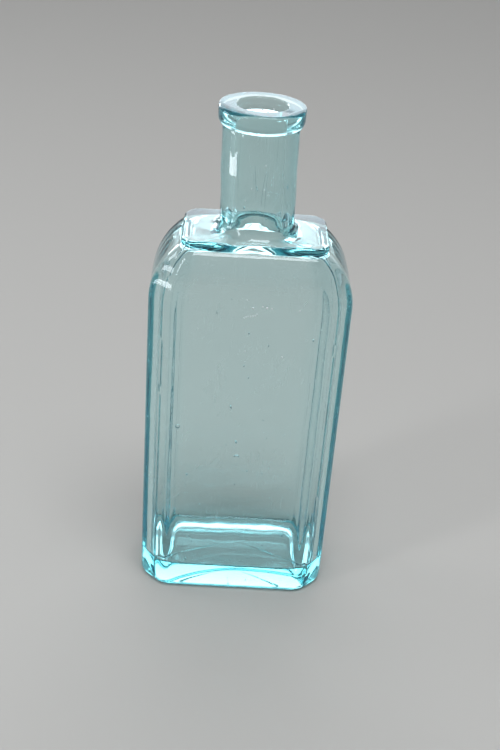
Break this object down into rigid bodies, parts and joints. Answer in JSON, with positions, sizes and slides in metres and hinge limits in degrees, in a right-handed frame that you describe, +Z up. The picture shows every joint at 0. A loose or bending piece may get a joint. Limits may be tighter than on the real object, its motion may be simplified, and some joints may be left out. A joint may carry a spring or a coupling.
{
  "type": "flat glass bottle",
  "caption": "Flat-sided glass bottle with bevelled corners, arched shoulders, a raised step under a short round neck, and a square collar lip.",
  "frame": {"origin": "middle of the base, on the plane of the rim that the bottle stands on", "axes": "+Z up along the neck; X across the broad faces; Y from the front face to the back face"},
  "size_m": [0.066, 0.0376, 0.174],
  "materials": {
    "body_glass": "clear pale aqua glass, faintly wavy, with seeds and light wear",
    "neck_glass": "clear pale aqua glass with faint upright streaks",
    "lip_glass": "clear pale aqua glass, hand-laid and a little uneven"
  },
  "bodies": {
    "root": {"bottle_body": "body_glass", "neck": "neck_glass", "applied_lip": "lip_glass"}
  },
  "joints": []
}
